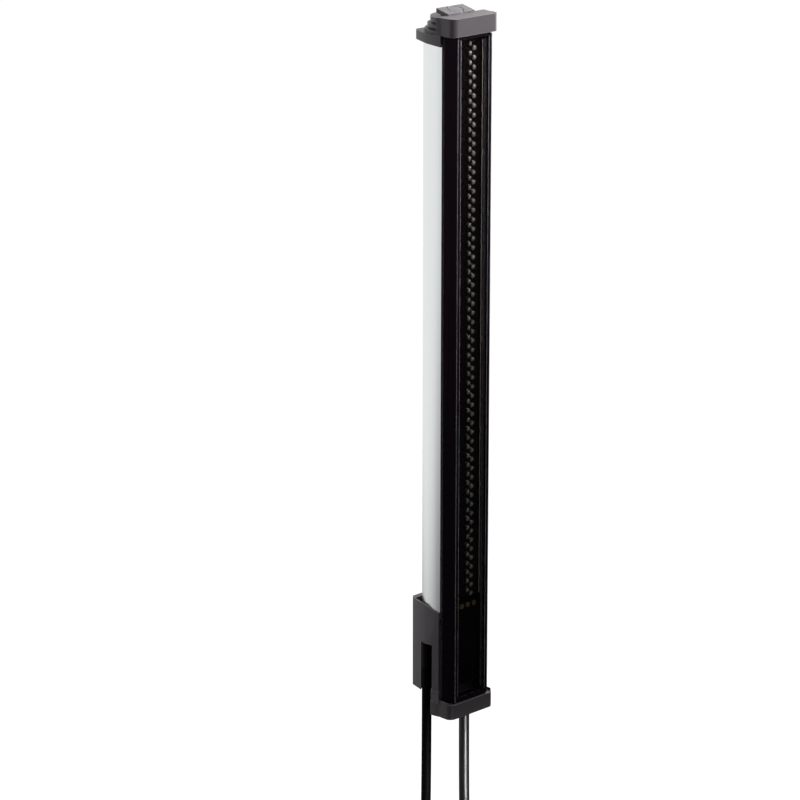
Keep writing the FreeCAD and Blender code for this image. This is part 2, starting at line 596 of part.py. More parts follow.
def route(side):
    mouth = BOOTS[side].Placement.Base
    return [mouth] + [FreeCAD.Vector(mouth.x + out, mouth.y, height) for out, height in TURNS[side]]


def cable(side, radius):
    """A round tube along straight runs joined by tangent arcs, and its last point and direction."""
    points = route(side)
    edges = []
    start = points[0]
    radii = []
    for before, corner, after in zip(points, points[1:], points[2:]):
        into = (corner - before).normalize()
        away = (after - corner).normalize()
        half = into.getAngle(away) / 2
        back = 0.45 * min((corner - before).Length, (after - corner).Length)
        bend = back / math.tan(half)
        radii.append(round(bend))
        first = corner - into * back
        last = corner + away * back
        inward = (away - into).normalize()
        middle = corner + inward * (bend / math.cos(half) - bend)
        edges.append(Part.LineSegment(start, first).toShape())
        edges.append(Part.Arc(first, middle, last).toShape())
        start = last
    edges.append(Part.LineSegment(start, points[-1]).toShape())
    path = Part.Wire(edges)
    section = Part.Wire([Part.makeCircle(radius, points[0], points[1] - points[0])])
    tube = path.makePipeShell([section], True, False)
    print("cable", side, "radii", radii, "length", round(path.Length, 2), "volume ratio",
          round(tube.Volume / (math.pi * radius ** 2 * path.Length), 5))
    obj = doc.addObject("Part::Feature", "cable_" + side)
    obj.Shape = tube
    node(obj, "cable_" + side)
    return points[-1], (points[-1] - points[-2]).normalize()


def plug(side, radius, pins, end, along):
    """A round plug with a turning nut; it is drawn pointing down and then set on the cable's end."""
    zero = "0"
    neck_end = "-neck_long"
    grip_end = "-neck_long - grip_long"
    stem_end = grip_end + " - stem_long"
    grip = [cone("neck_" + side, "neck_radius", radius + " + neck_wall", zero, zero, neck_end, zero),
            upright("grip_" + side, "grip_radius", zero, zero, grip_end, neck_end),
            upright("stem_" + side, "stem_radius", zero, zero, stem_end, grip_end)]
    flutes = []
    for number in range(12):
        angle = math.radians(30 * number)
        flutes.append(upright("flute_%s_%d" % (side, number), "2 * grip_rib",
                              "(grip_radius + grip_rib) * %.6f" % math.cos(angle),
                              "(grip_radius + grip_rib) * %.6f" % math.sin(angle),
                              grip_end + " + flute_end", neck_end + " - flute_end"))
    key = box("key_" + side, "-key_wide / 2", "key_wide / 2", "stem_radius - key_deep", "stem_radius + 1",
              stem_end + " - 1", stem_end + " + key_long")
    holes = []
    contacts = []
    spots = [(zero, zero)]
    ringed = pins - 1
    for number in range(ringed):
        angle = math.radians(45 + 360.0 / ringed * number)
        spots.append(("pin_circle * %.6f" % math.cos(angle), "pin_circle * %.6f" % math.sin(angle)))
    for number, (x, y) in enumerate(spots):
        holes.append(upright("pin_hole_%s_%d" % (side, number), "pin_radius", x, y, stem_end + " - 1",
                             stem_end + " + pin_in"))
        contacts.append(upright("pin_%s_%d" % (side, number), "pin_radius", x, y, stem_end + " - pin_out",
                                stem_end + " + pin_in"))
    body = cut("plug_body_%s" % side, fuse("plug_whole_" + side, grip), flutes + [key] + holes)
    nut_top = grip_end + " - nut_gap"
    nut_low = nut_top + " - knurl_long - relief_long - thread_long"
    nut_whole = fuse("nut_whole_" + side, [
        upright("nut_knurl_" + side, "nut_radius", zero, zero, nut_top + " - knurl_long", nut_top),
        upright("nut_relief_" + side, "relief_radius", zero, zero, nut_top + " - knurl_long - relief_long",
                nut_top + " - knurl_long"),
        upright("nut_thread_" + side, "thread_radius", zero, zero, nut_low,
                nut_top + " - knurl_long - relief_long")])
    nut_cuts = [upright("nut_bore_" + side, "stem_radius + nut_gap", zero, zero, nut_low + " - 1",
                        nut_top + " + 1")]
    for number in range(24):
        angle = math.radians(15 * number)
        nut_cuts.append(upright("knurl_%s_%d" % (side, number), "knurl_cut",
                                "nut_radius * %.6f" % math.cos(angle), "nut_radius * %.6f" % math.sin(angle),
                                nut_top + " - knurl_long + knurl_end", nut_top + " - knurl_end"))
    nut = cut("nut_%s" % side, nut_whole, nut_cuts)
    pieces = ((body, "plug_grip_" + side), (nut, "coupling_nut_" + side))
    rotation = FreeCAD.Rotation(FreeCAD.Vector(0, 0, -1), along)
    for obj, label in pieces:
        obj.Placement = FreeCAD.Placement(end, rotation)
        node(obj, label)
    pin_group = group("plug_pins_" + side, contacts)
    pin_group.Placement = FreeCAD.Placement(end, rotation)


for side, radius, pins in (("left", "left_cable", 5), ("right", "right_cable", 5)):
    end, along = cable(side, SIZE[radius])
    plug(side, radius, pins, end, along)

doc.recompute()
faults = [obj.Name for obj in doc.Objects if "Invalid" in obj.State or "Error" in obj.State]
for obj in NODES:
    if obj.Shape.isNull() or not obj.Shape.isValid() or not obj.Shape.Solids:
        faults.append(obj.Label)
if faults:
    raise RuntimeError("not sound: " + ", ".join(faults))

os.makedirs("parts", exist_ok=True)
for obj in NODES:
    obj.Shape.exportStep("parts/%s.step" % obj.Label)
    print(obj.Label, len(obj.Shape.Solids), round(obj.Shape.Volume, 2))
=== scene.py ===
# %% [markdown]
# # Automation light grid
# One post of a light grid: a slim aluminium housing with a tinted window, two columns of small
# lenses behind it, moulded end caps, a connection box and two short leads with round plugs.
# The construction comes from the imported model. This lesson softens its moulded and drawn edges,
# cuts the plug threads, lays the two leads, gives every surface its finish and lights the post.

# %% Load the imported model
import json
import math

import bmesh
import bpy
from mathutils import Euler, Matrix, Vector


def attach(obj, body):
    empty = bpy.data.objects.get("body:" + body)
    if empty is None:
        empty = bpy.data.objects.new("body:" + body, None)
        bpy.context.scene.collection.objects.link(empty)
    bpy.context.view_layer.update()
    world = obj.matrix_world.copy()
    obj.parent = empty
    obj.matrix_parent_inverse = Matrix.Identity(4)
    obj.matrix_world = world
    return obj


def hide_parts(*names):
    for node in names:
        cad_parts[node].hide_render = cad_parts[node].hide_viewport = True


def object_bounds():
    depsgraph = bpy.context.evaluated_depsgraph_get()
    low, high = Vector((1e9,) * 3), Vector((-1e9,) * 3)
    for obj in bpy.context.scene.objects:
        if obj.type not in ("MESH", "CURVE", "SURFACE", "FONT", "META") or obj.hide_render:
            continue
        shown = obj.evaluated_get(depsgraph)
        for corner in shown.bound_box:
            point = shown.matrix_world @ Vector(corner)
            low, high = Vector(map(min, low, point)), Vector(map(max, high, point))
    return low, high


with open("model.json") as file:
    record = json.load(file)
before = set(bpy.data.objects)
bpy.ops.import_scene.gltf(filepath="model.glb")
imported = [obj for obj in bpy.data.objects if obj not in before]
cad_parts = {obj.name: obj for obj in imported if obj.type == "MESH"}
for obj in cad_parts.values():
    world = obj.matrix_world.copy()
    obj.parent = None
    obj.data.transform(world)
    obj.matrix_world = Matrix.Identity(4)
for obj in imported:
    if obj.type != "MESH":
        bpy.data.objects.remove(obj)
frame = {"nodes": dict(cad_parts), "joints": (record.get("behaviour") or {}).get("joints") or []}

MM = 0.001
cad_low, cad_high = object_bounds()
print("size in mm", [round(side / MM, 1) for side in cad_high - cad_low])

# %% [markdown]
# ## Camera
# A long lens far away: the post's edges run nearly parallel in the photograph, with only a slight
# taper towards the foot. Its place was worked out from the caps' corners and the lens columns.

# %% Camera
SENSOR_MM = 36.0
PICTURE_PX = 800
FOCAL_PX = 3300.0
CAMERA_PLACE = (-1.18092, -1.19987, 0.63089)
CAMERA_AZIMUTH = -44.0
CAMERA_ELEVATION = 16.5

camera_data = bpy.data.cameras.new("photo_camera")
camera_data.sensor_width = SENSOR_MM
camera_data.lens = SENSOR_MM * FOCAL_PX / PICTURE_PX
camera = bpy.data.objects.new("photo_camera", camera_data)
camera.location = CAMERA_PLACE
camera.rotation_euler = Euler((math.radians(90 - CAMERA_ELEVATION), 0, math.radians(CAMERA_AZIMUTH)))
bpy.context.scene.collection.objects.link(camera)
bpy.context.scene.camera = camera
print("lens", camera_data.lens, "mm")

# %% [markdown]
# ## Tools for finishes
# Every finish is a small tree of shader nodes. One function adds a node with its settings and
# links, and one turns a colour that is written as it looks on a screen into the linear values
# that the renderer works with. Three steps come back in most finishes, so each has a helper: a
# noise of a real size, a pattern that drives tone, gloss and relief together, and a lighter colour
# on the edges, partly wear and partly painted highlight.

# %% Node and colour tools


def linear(code):
    """An sRGB hex colour as linear red, green, blue and full alpha."""
    channels = [int(code[place:place + 2], 16) / 255 for place in (1, 3, 5)]
    bent = [c / 12.92 if c <= 0.04045 else ((c + 0.055) / 1.055) ** 2.4 for c in channels]
    return (*bent, 1.0)


def add(tree, kind, inputs=None, **settings):
    """Add a node: settings are its own fields, inputs are values or other nodes' sockets by name."""
    made = tree.nodes.new(kind)
    for field, value in settings.items():
        setattr(made, field, value)
    for name, value in (inputs or {}).items():
        if isinstance(value, bpy.types.NodeSocket):
            tree.links.new(value, made.inputs[name])
        else:
            made.inputs[name].default_value = value
    return made


def finish_tree(name, **constants):
    """A new material, its node tree and its surface shader with the constants on its own sockets."""
    material = bpy.data.materials.new(name)
    material.use_nodes = True
    tree = material.node_tree
    shader = tree.nodes["Principled BSDF"]
    for socket, value in constants.items():
        shader.inputs[socket.replace("_", " ")].default_value = value
    return material, tree, shader


WHITE, BLACK = linear("#ffffff"), linear("#000000")
print("white is", WHITE)

# %% Pattern tools
NOISE_LOW, NOISE_HIGH = 0.3, 0.7
EDGE_BENT, EDGE_FLAT = 0.86, 0.99
UPRIGHT_LEAN = 0.2
EDGE_SAMPLES = 4
EVEN = (1, 1, 1)
PLAIN_DETAIL, LINE_DETAIL, WIPED_DETAIL = 2.0, 3.0, 4.0


def grain(tree, size_mm, stretch=EVEN, detail=PLAIN_DETAIL):
    """A noise whose blobs are about size_mm across, drawn out along the axes with a small stretch."""
    place = add(tree, "ShaderNodeTexCoord")
    drawn = add(tree, "ShaderNodeMapping", {"Vector": place.outputs["Object"], "Scale": stretch})
    return add(tree, "ShaderNodeTexNoise", {"Vector": drawn.outputs["Vector"], "Detail": detail,
                                            "Scale": 1 / (size_mm * MM)}).outputs["Fac"]


def dress(tree, shader, tone, grit, codes, gloss, relief_mm):
    """One pattern shifts the tone between two colours, another drives the gloss and the relief."""
    body = add(tree, "ShaderNodeMix", {0: tone, 6: linear(codes[0]), 7: linear(codes[1])}, data_type="RGBA")
    polish = add(tree, "ShaderNodeMapRange", {"Value": grit, "From Min": NOISE_LOW, "From Max": NOISE_HIGH,
                                              "To Min": gloss[0], "To Max": gloss[1]})
    relief = add(tree, "ShaderNodeBump", {"Height": grit, "Strength": 1.0, "Distance": relief_mm * MM})
    tree.links.new(body.outputs[2], shader.inputs["Base Color"])
    tree.links.new(polish.outputs["Result"], shader.inputs["Roughness"])
    tree.links.new(relief.outputs["Normal"], shader.inputs["Normal"])
    return body.outputs[2]


def paint_edge_wear_and_highlight(tree, shader, body, code, radius_mm, upright=False):
    """Paint a lighter colour on all edges or the upright ones, partly as wear and partly as painted
    highlight: a bevelled normal leaves the true one there.
    """
    rounded = add(tree, "ShaderNodeBevel", {"Radius": radius_mm * MM}, samples=EDGE_SAMPLES)
    flat = add(tree, "ShaderNodeNewGeometry")
    along = add(tree, "ShaderNodeVectorMath", {0: rounded.outputs["Normal"], 1: flat.outputs["Normal"]},
                operation="DOT_PRODUCT")
    near = add(tree, "ShaderNodeMapRange", {"Value": along.outputs["Value"], "From Min": EDGE_BENT,
                                            "From Max": EDGE_FLAT, "To Min": 1.0, "To Max": 0.0})
    share = near.outputs["Result"]
    if upright:
        lean = add(tree, "ShaderNodeSeparateXYZ", {"Vector": rounded.outputs["Normal"]})
        stands = add(tree, "ShaderNodeMath", {0: lean.outputs["Z"], 1: 0.0, 2: UPRIGHT_LEAN},
                     operation="COMPARE")
        share = add(tree, "ShaderNodeMath", {0: share, 1: stands.outputs[0]}, operation="MULTIPLY").outputs[0]
    # Lighter edges: partly wear, partly painted highlight.
    edge_wear_and_highlight = add(tree, "ShaderNodeMix", {0: share, 6: body, 7: linear(code)}, data_type="RGBA")
    tree.links.new(edge_wear_and_highlight.outputs[2], shader.inputs["Base Color"])


print("noise runs from", NOISE_LOW, "to", NOISE_HIGH)

# %% [markdown]
# ## Drawn metal
# The housings are extruded: the die leaves fine lines along the post, and the oxide layer on top is
# clear on the rear shell and dyed black on the front one. A noise stretched along the length gives
# both the lines' gloss and a faint change of tone. The same tree serves the turned and plated pieces,
# where the lines run round the axis instead.

# %% Drawn, turned and plated metal
DIE_LINE_MM, TURNED_LINE_MM = 0.35, 0.25
LINE_DEEP_MM = 0.0016
ALONG_POST = (1, 1, 0.004)
ROUND_PLUG = (0.05, 0.05, 1)


def metal(name, codes, gloss, line_mm=TURNED_LINE_MM, stretch=ROUND_PLUG):
    """A bare metal whose drawn or turned lines vary its tone, gloss and relief."""
    material, tree, shader = finish_tree(name, Metallic=1.0)
    lines = grain(tree, line_mm, stretch, LINE_DETAIL)
    dress(tree, shader, lines, lines, codes, gloss, LINE_DEEP_MM)
    return material


# Clear anodised aluminium: a bright, slightly milky metal with soft reflections.
silver = metal("anodised_aluminium_extruded", ("#e2e5e5", "#edefef"), gloss=(0.27, 0.36),
               line_mm=DIE_LINE_MM, stretch=ALONG_POST)
# Zinc plated steel: a grey, slightly blue metal, duller than the housing.
steel = metal("zinc_plated_steel_turned", ("#a7abb0", "#c3c6c8"), gloss=(0.3, 0.42))
# Nickel plated brass: a warm silver that shows its turning lines.
nickel = metal("nickel_plated_brass_turned", ("#b3aea2", "#cbc7bd"), gloss=(0.2, 0.3))
# Gold flash over brass: the contact pins' yellow.
gold = metal("gold_plated_brass_turned", ("#cf9d3f", "#e0b560"), gloss=(0.18, 0.28))
print("metals", [made.name for made in (silver, steel, nickel, gold)])

# %% [markdown]
# The front housing's dye makes its metal look like a black lacquer: almost all that the eye gets
# is a weak, soft reflection with a purple cast from the dye. A plain shader with a low, tinted
# specular level gives that. Its upright corners are painted light, a painted highlight that draws
# the light lines along the rails.

# %% Black anodised housing
BLACK_EDGE_HIGHLIGHT_MM = 0.65


def black_anodised():
    """Dyed metal as a plain shader with a weak tinted reflection and upright corners painted light as
    highlight.
    """
    material, tree, shader = finish_tree("anodised_aluminium_dyed_black", Specular_IOR_Level=0.2,
                                         Specular_Tint=linear("#dcb4d4"))
    lines = grain(tree, DIE_LINE_MM, ALONG_POST, LINE_DETAIL)
    dye = dress(tree, shader, lines, lines, ("#0c060c", "#140d14"), gloss=(0.26, 0.38),
                relief_mm=LINE_DEEP_MM)
    # Painted highlight: the upright corners are coloured light to draw the lines along the rails.
    paint_edge_wear_and_highlight(tree, shader, dye, "#c8c4cd", BLACK_EDGE_HIGHLIGHT_MM, upright=True)
    return material


black_metal = black_anodised()
print("front housing", black_metal.name)

# %% [markdown]
# ## Moulded plastic and rubber
# The caps, the box, the optics' carriers, the plugs and the leads are all moulded or extruded
# plastics. A mould's spark texture breaks up the reflection, tone drifts slowly over the surface,
# and the edges are painted lighter, partly as wear from handling and partly as painted highlight.
# One function holds that tree, and the pieces differ in colour, texture and gloss.

# %% Moulded plastics
TONE_MM = 9.0
EDGE_WEAR_AND_HIGHLIGHT_MM = 0.4


def moulded(name, codes, edge_light_code, gloss, level, grit_mm, relief_mm, stretch=EVEN):
    """A plastic with a slow drift of tone, a mould's grit and edges painted lighter, partly as wear and
    partly as painted highlight.
    """
    material, tree, shader = finish_tree(name, Specular_IOR_Level=level)
    tone, grit = grain(tree, TONE_MM, stretch), grain(tree, grit_mm, stretch)
    body = dress(tree, shader, tone, grit, codes, gloss, relief_mm)
    paint_edge_wear_and_highlight(tree, shader, body, edge_light_code, EDGE_WEAR_AND_HIGHLIGHT_MM)
    return material


# Glass filled polyamide: a dark grey with a spark texture. The grit is about 0.1 mm on the real
# caps and is drawn at 0.3 mm so that it shows.
cap_plastic = moulded("glass_filled_polyamide_moulded", ("#4f4a4e", "#585357"), "#9b969a",
                      gloss=(0.4, 0.55), level=0.5, grit_mm=0.3, relief_mm=0.01)
# Epoxy resin of the diodes and the chip: near black, with the mould's fine matt.
resin = moulded("epoxy_resin_moulded", ("#161618", "#1c1c1f"), "#2a2a2c",
                gloss=(0.4, 0.6), level=0.3, grit_mm=0.3, relief_mm=0.01)
# Green polyamide of the terminals, half gloss.
terminal_plastic = moulded("polyamide_moulded_green", ("#2b5538", "#356343"), "#4f7d5c",
                           gloss=(0.35, 0.5), level=0.4, grit_mm=0.4, relief_mm=0.007)
# Soft polyurethane of the boots and plugs: matt black, with the edges of its ribs painted lighter, partly as
# wear and partly as painted highlight.
soft_plastic = moulded("polyurethane_moulded", ("#090809", "#0f0e0f"), "#1d1c1d",
                       gloss=(0.5, 0.68), level=0.1, grit_mm=0.5, relief_mm=0.012)
# Silicone gasket: dull black.
rubber = moulded("silicone_rubber_moulded", ("#101011", "#151516"), "#1c1c1d",
                 gloss=(0.6, 0.75), level=0.2, grit_mm=0.6, relief_mm=0.01)
print("plastics", [made.name for made in (cap_plastic, resin, terminal_plastic, soft_plastic, rubber)])

# %% [markdown]
# The carriers behind the window are black and dull, so that stray light doesn't reach the diodes.
# The tops of their two rims are painted pale, a painted highlight that draws a thin line along the
# window. The place of the rims picks them out: how far from the middle, and how far to the front.

# %% Lens carriers
RIM_MIDDLE_MM, RIM_HALF_MM = 8.1, 0.4
RIM_FRONT_MM = -29.35
CARRIER_GRIT_MM = 0.4


def carrier_with_painted_rim_highlight():
    """Dull black plastic with the two rims' tops painted pale as a highlight."""
    material, tree, shader = finish_tree("black_polycarbonate_moulded", Specular_IOR_Level=0.12)
    tone, grit = grain(tree, TONE_MM), grain(tree, CARRIER_GRIT_MM)
    body = dress(tree, shader, tone, grit, ("#0a0706", "#0e0b09"), gloss=(0.35, 0.5), relief_mm=0.007)
    place = add(tree, "ShaderNodeTexCoord")
    sides = add(tree, "ShaderNodeSeparateXYZ", {"Vector": place.outputs["Object"]})
    across = add(tree, "ShaderNodeMath", {0: sides.outputs["X"]}, operation="ABSOLUTE")
    beside = add(tree, "ShaderNodeMath", {0: across.outputs[0], 1: RIM_MIDDLE_MM * MM, 2: RIM_HALF_MM * MM},
                 operation="COMPARE")
    ahead = add(tree, "ShaderNodeMath", {0: sides.outputs["Y"], 1: RIM_FRONT_MM * MM}, operation="LESS_THAN")
    rim_highlight_mask = add(tree, "ShaderNodeMath", {0: beside.outputs[0], 1: ahead.outputs[0]}, operation="MULTIPLY")
    # Painted highlight: the rims' tops are coloured pale.
    rim_highlight = add(tree, "ShaderNodeMix", {0: rim_highlight_mask.outputs[0], 6: body, 7: linear("#d9d2ca")}, data_type="RGBA")
    tree.links.new(rim_highlight.outputs[2], shader.inputs["Base Color"])
    return material


carrier_plastic = carrier_with_painted_rim_highlight()
print("carriers", carrier_plastic.name)

# %% [markdown]
# The leads' jackets are extruded, so their texture runs along the cable. The thin lead has a matt
# polyurethane jacket painted darker than the thick one's, a painted shade that keeps it black; the
# thick one has a smooth vinyl jacket with a hard gloss.

# %% Lead jackets
ALONG_LEAD = (1, 1, 0.05)
jackets = {
    # Painted shade: the thin lead's jacket is coloured darker than the thick one's.
    "left": moulded("polyurethane_jacket_extruded_painted_shade", ("#050405", "#080708"), "#0a090a",
                    gloss=(0.5, 0.62), level=0.05, grit_mm=0.6, relief_mm=0.005, stretch=ALONG_LEAD),
    "right": moulded("vinyl_jacket_extruded", ("#121114", "#17161a"), "#1b1a1e",
                     gloss=(0.34, 0.42), level=1.0, grit_mm=0.6, relief_mm=0.002, stretch=ALONG_LEAD),
}
print("jackets", sorted(jackets))

# %% [markdown]
# ## Clear parts
# The window is a polished acrylic strip dyed so dark that only highlights get through. Alpha lets
# the light through it straight, which is all that a flat strip does, and it stays quick to render.
# The lens strip behind it is clear over a black carrier. A lens shows the diode behind it much
# enlarged, and here that image is painted on each dome rather than refracted: each dome is dark
# with one painted spot of soft bright metal, the diode's face. Two columns half a pitch apart hold
# the spots: the right one is moved up by half a pitch, and wrapping the height then lays all of
# them on one.

# %% Window, lenses and light pipes
WIPED_MM = 1.2
ALONG_WINDOW = (1, 1, 0.08)
FLOW_MM = 2.0
FROST_MM = 0.4
BEAM_PITCH_MM = 5.0
FIRST_BEAM_MM = 328.0
COLUMN_HALF_MM = 1.3
SPOT_WIDE_MM, SPOT_TALL_MM = 1.75, 1.3
SPOT_ASIDE_MM, SPOT_LOWER_MM = 0.75, 0.2
SPOT_FROM, SPOT_TO = 0.7, 1.1
SPOT_SOFT = 0.55


def tinted_window():
    # Dyed acrylic, polished: a brown black, with a faint unevenness from wiping.
    material, tree, shader = finish_tree("acrylic_dyed_polished", Alpha=0.24, Specular_IOR_Level=0.12)
    wiped = grain(tree, WIPED_MM, ALONG_WINDOW, WIPED_DETAIL)
    dress(tree, shader, wiped, wiped, ("#080504", "#0d0907"), gloss=(0.04, 0.1), relief_mm=0.0002)
    return material


def clear_lens():
    # Clear polycarbonate: black with the carrier behind it, with a painted pale metal spot where the
    # lens would show a diode enlarged, which gives a strong soft glint on each dome.
    material, tree, shader = finish_tree("clear_polycarbonate_moulded", Specular_IOR_Level=0.3, IOR=1.58)
    flow = grain(tree, FLOW_MM)
    body = dress(tree, shader, flow, flow, ("#0b0908", "#120e0c"), gloss=(0.24, 0.32), relief_mm=0.002)
    place = add(tree, "ShaderNodeTexCoord")
    sides = add(tree, "ShaderNodeSeparateXYZ", {"Vector": place.outputs["Object"]})
    right = add(tree, "ShaderNodeMath", {0: sides.outputs["X"], 1: 0.0}, operation="GREATER_THAN")
    half_pitch = BEAM_PITCH_MM / 2 * MM
    middle = (FIRST_BEAM_MM - SPOT_LOWER_MM) * MM
    column = add(tree, "ShaderNodeMath", {
        0: right.outputs[0], 1: -2 * COLUMN_HALF_MM * MM, 2: sides.outputs["X"]}, operation="MULTIPLY_ADD")
    raised = add(tree, "ShaderNodeMath", {
        0: right.outputs[0], 1: half_pitch, 2: sides.outputs["Z"]}, operation="MULTIPLY_ADD")
    along = add(tree, "ShaderNodeMath", {
        0: raised.outputs[0], 1: middle + half_pitch, 2: middle - half_pitch}, operation="WRAP")
    spot = add(tree, "ShaderNodeCombineXYZ", {"X": column.outputs[0], "Y": along.outputs[0]})
    centred = add(tree, "ShaderNodeVectorMath", {
        0: spot.outputs[0], 1: ((COLUMN_HALF_MM - SPOT_ASIDE_MM) * MM, -middle, 0)}, operation="ADD")
    scaled = add(tree, "ShaderNodeVectorMath", {
        0: centred.outputs[0], 1: (1 / (SPOT_WIDE_MM * MM), 1 / (SPOT_TALL_MM * MM), 0)},
        operation="MULTIPLY")
    away = add(tree, "ShaderNodeVectorMath", {0: scaled.outputs[0]}, operation="LENGTH")
    painted_diode_spot = add(tree, "ShaderNodeMapRange", {
        "Value": away.outputs["Value"], "From Min": SPOT_FROM, "From Max": SPOT_TO,
        "To Min": 1.0, "To Max": 0.0}).outputs["Result"]
    # Painted image of the diode: a pale metal spot on each dome.
    shown = add(tree, "ShaderNodeMix", {0: painted_diode_spot, 6: body, 7: linear("#e6e0d8")}, data_type="RGBA")
    polish = shader.inputs["Roughness"].links[0].from_socket
    soft = add(tree, "ShaderNodeMix", {0: painted_diode_spot, 2: polish, 3: SPOT_SOFT})
    tree.links.new(shown.outputs[2], shader.inputs["Base Color"])
    tree.links.new(painted_diode_spot, shader.inputs["Metallic"])
    tree.links.new(soft.outputs[0], shader.inputs["Roughness"])
    return material


def amber_pipe():
    # Amber acrylic with a frosted end.
    material, tree, shader = finish_tree("amber_acrylic_frosted", Specular_IOR_Level=0.4)
    frost = grain(tree, FROST_MM)
    dress(tree, shader, frost, frost, ("#7c6648", "#a58c68"), gloss=(0.3, 0.5), relief_mm=0.01)
    return material


window_acrylic = tinted_window()
lens_clear = clear_lens()
amber = amber_pipe()
print("clear parts", window_acrylic.name, lens_clear.name, amber.name)

# %% [markdown]
# ## Circuit boards
# A glass fibre board under a black solder mask. Copper tracks show through the mask as paler lines;
# a brick pattern whose bricks are the gaps gives straight tracks at the usual spacing.

# %% Circuit boards
TRACK_PITCH_MM = 1.27
TRACK_MM = 0.3
TRACK_LONG_MM = 7.6
TRACK_RISE_MM = 0.006
TRACK_SOFT = 0.1


def circuit_board():
    """Solder mask over tracks: the brick pattern's mortar lines are the tracks."""
    material, tree, shader = finish_tree("fr4_board_solder_masked", Specular_IOR_Level=0.2)
    place = add(tree, "ShaderNodeTexCoord")
    face = add(tree, "ShaderNodeMapping", {"Vector": place.outputs["Object"],
                                           "Rotation": (math.pi / 2, 0, 0)})
    tracks = add(tree, "ShaderNodeTexBrick", {
        "Vector": face.outputs["Vector"], "Scale": 1.0, "Mortar Size": TRACK_MM * MM / 2,
        "Brick Width": TRACK_LONG_MM * MM, "Row Height": TRACK_PITCH_MM * MM, "Mortar Smooth": TRACK_SOFT,
        "Color1": BLACK, "Color2": BLACK, "Mortar": WHITE}).outputs["Fac"]
    dress(tree, shader, tracks, tracks, ("#0b0d0b", "#1b1a15"), gloss=(0.3, 0.4), relief_mm=TRACK_RISE_MM)
    return material


board = circuit_board()
print("boards", board.name)

# %% [markdown]
# ## Dress the model
# Each kind of piece gets its finish by the first words of its name.

# %% Give every node its finish
WEARS = {
    "rear_housing": silver, "front_housing": black_metal, "front_window": window_acrylic,
    "lens_strip": lens_clear, "lens_carrier": carrier_plastic, "sensor_board": board, "photodiodes": resin,
    "indicator_holder": carrier_plastic, "indicator_light_pipes": amber, "control_board": board,
    "control_chip": resin, "cable_terminals": terminal_plastic, "top_gasket": rubber, "top_cap": cap_plastic,
    "bottom_gasket": rubber, "bottom_cap": cap_plastic, "connection_box": cap_plastic, "box_screws": steel,
    "foot_screws": steel, "strain_relief": soft_plastic, "plug_grip": soft_plastic, "coupling_nut": nickel,
    "plug_pins": gold, "cable_left": jackets["left"], "cable_right": jackets["right"],
}


def finish_of(name):
    """The finish of a node, found by leaving off words from the end of its name."""
    while name not in WEARS:
        name = name.rpartition("_")[0]
    return WEARS[name]


for name, node in frame["nodes"].items():
    node.data.materials.clear()
    node.data.materials.append(finish_of(name))
print("dressed", len(frame["nodes"]), "nodes")

# %% [markdown]
# ## Soft edges
# A moulded or drawn edge is never sharp, and the thin light lines along the post are such edges
# catching the light, with a painted highlight on the front housing's upright corners. Each piece
# with such edges is copied, its flats are joined again into whole faces, and the outward edges are
# rounded over. The copy stands for the model's own node.

# %% Round the outward edges
EDGE_MM = {"top_cap": 0.45, "bottom_cap": 0.5, "connection_box": 0.4, "front_housing": 0.35,
           "rear_housing": 0.12, "front_window": 0.12, "plug_grip_left": 0.4, "plug_grip_right": 0.4}
SAME_SPOT_MM = 0.002
FLAT_WITHIN = math.radians(0.4)
EDGE_FROM = math.radians(32)
EDGE_STEPS = 3
ROUND_PROFILE = 0.5


def softened(name, radius_mm):
    """A copy of a node with its outward edges rounded, and how many edges that were."""
    node = frame["nodes"][name]
    shape = bmesh.new()
    shape.from_mesh(node.data)
    bmesh.ops.remove_doubles(shape, verts=shape.verts, dist=SAME_SPOT_MM * MM)
    bmesh.ops.dissolve_limit(shape, angle_limit=FLAT_WITHIN, verts=shape.verts, edges=shape.edges)
    edges = [edge for edge in shape.edges
             if edge.is_manifold and edge.calc_face_angle_signed() > EDGE_FROM]
    bmesh.ops.bevel(shape, geom=edges, offset=radius_mm * MM, segments=EDGE_STEPS, profile=ROUND_PROFILE,
                    affect="EDGES", clamp_overlap=True)
    mesh = bpy.data.meshes.new(name + "_softened")
    shape.to_mesh(mesh)
    shape.free()
    mesh.shade_smooth()
    mesh.set_sharp_from_angle(angle=EDGE_FROM)
    mesh.materials.append(finish_of(name))
    piece = bpy.data.objects.new(name + "_softened", mesh)
    bpy.context.scene.collection.objects.link(piece)
    evened = piece.modifiers.new("flat_faces", "WEIGHTED_NORMAL")
    evened.keep_sharp = True
    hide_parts(name)
    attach(piece, "post")
    return piece, len(edges)


for name, radius_mm in EDGE_MM.items():
    piece, count = softened(name, radius_mm)
    print(piece.name, "edges", count, "faces", len(piece.data.polygons))

# %% [markdown]
# ## Plug nuts
# Each lead ends in a round plug with a turning nut: a knurled ring and an M12 thread. The model has
# plain cylinders for the thread, so the nut is turned here as one grid: rings along its axis, each
# with a radius that the knurl's notches and the thread's helix take material from.

# %% Turn the two nuts
NUT_STEPS = 192
THREAD_RINGS = 48
NOTCHES = 24
THREAD_PITCH_MM = 1.0
THREAD_DEEP_MM = 0.55
NOTCH_DEEP_MM = 0.4
NUT_MM = {"thread_low": -2.5, "thread_high": 2.5, "knurl_low": 3.7, "knurl_high": 10.7,
          "thread": 6.0, "relief": 5.4, "knurl": 7.2, "bore": 4.9, "chamfer": 0.5, "notch_end": 0.6,
          "notch_run": 0.3}


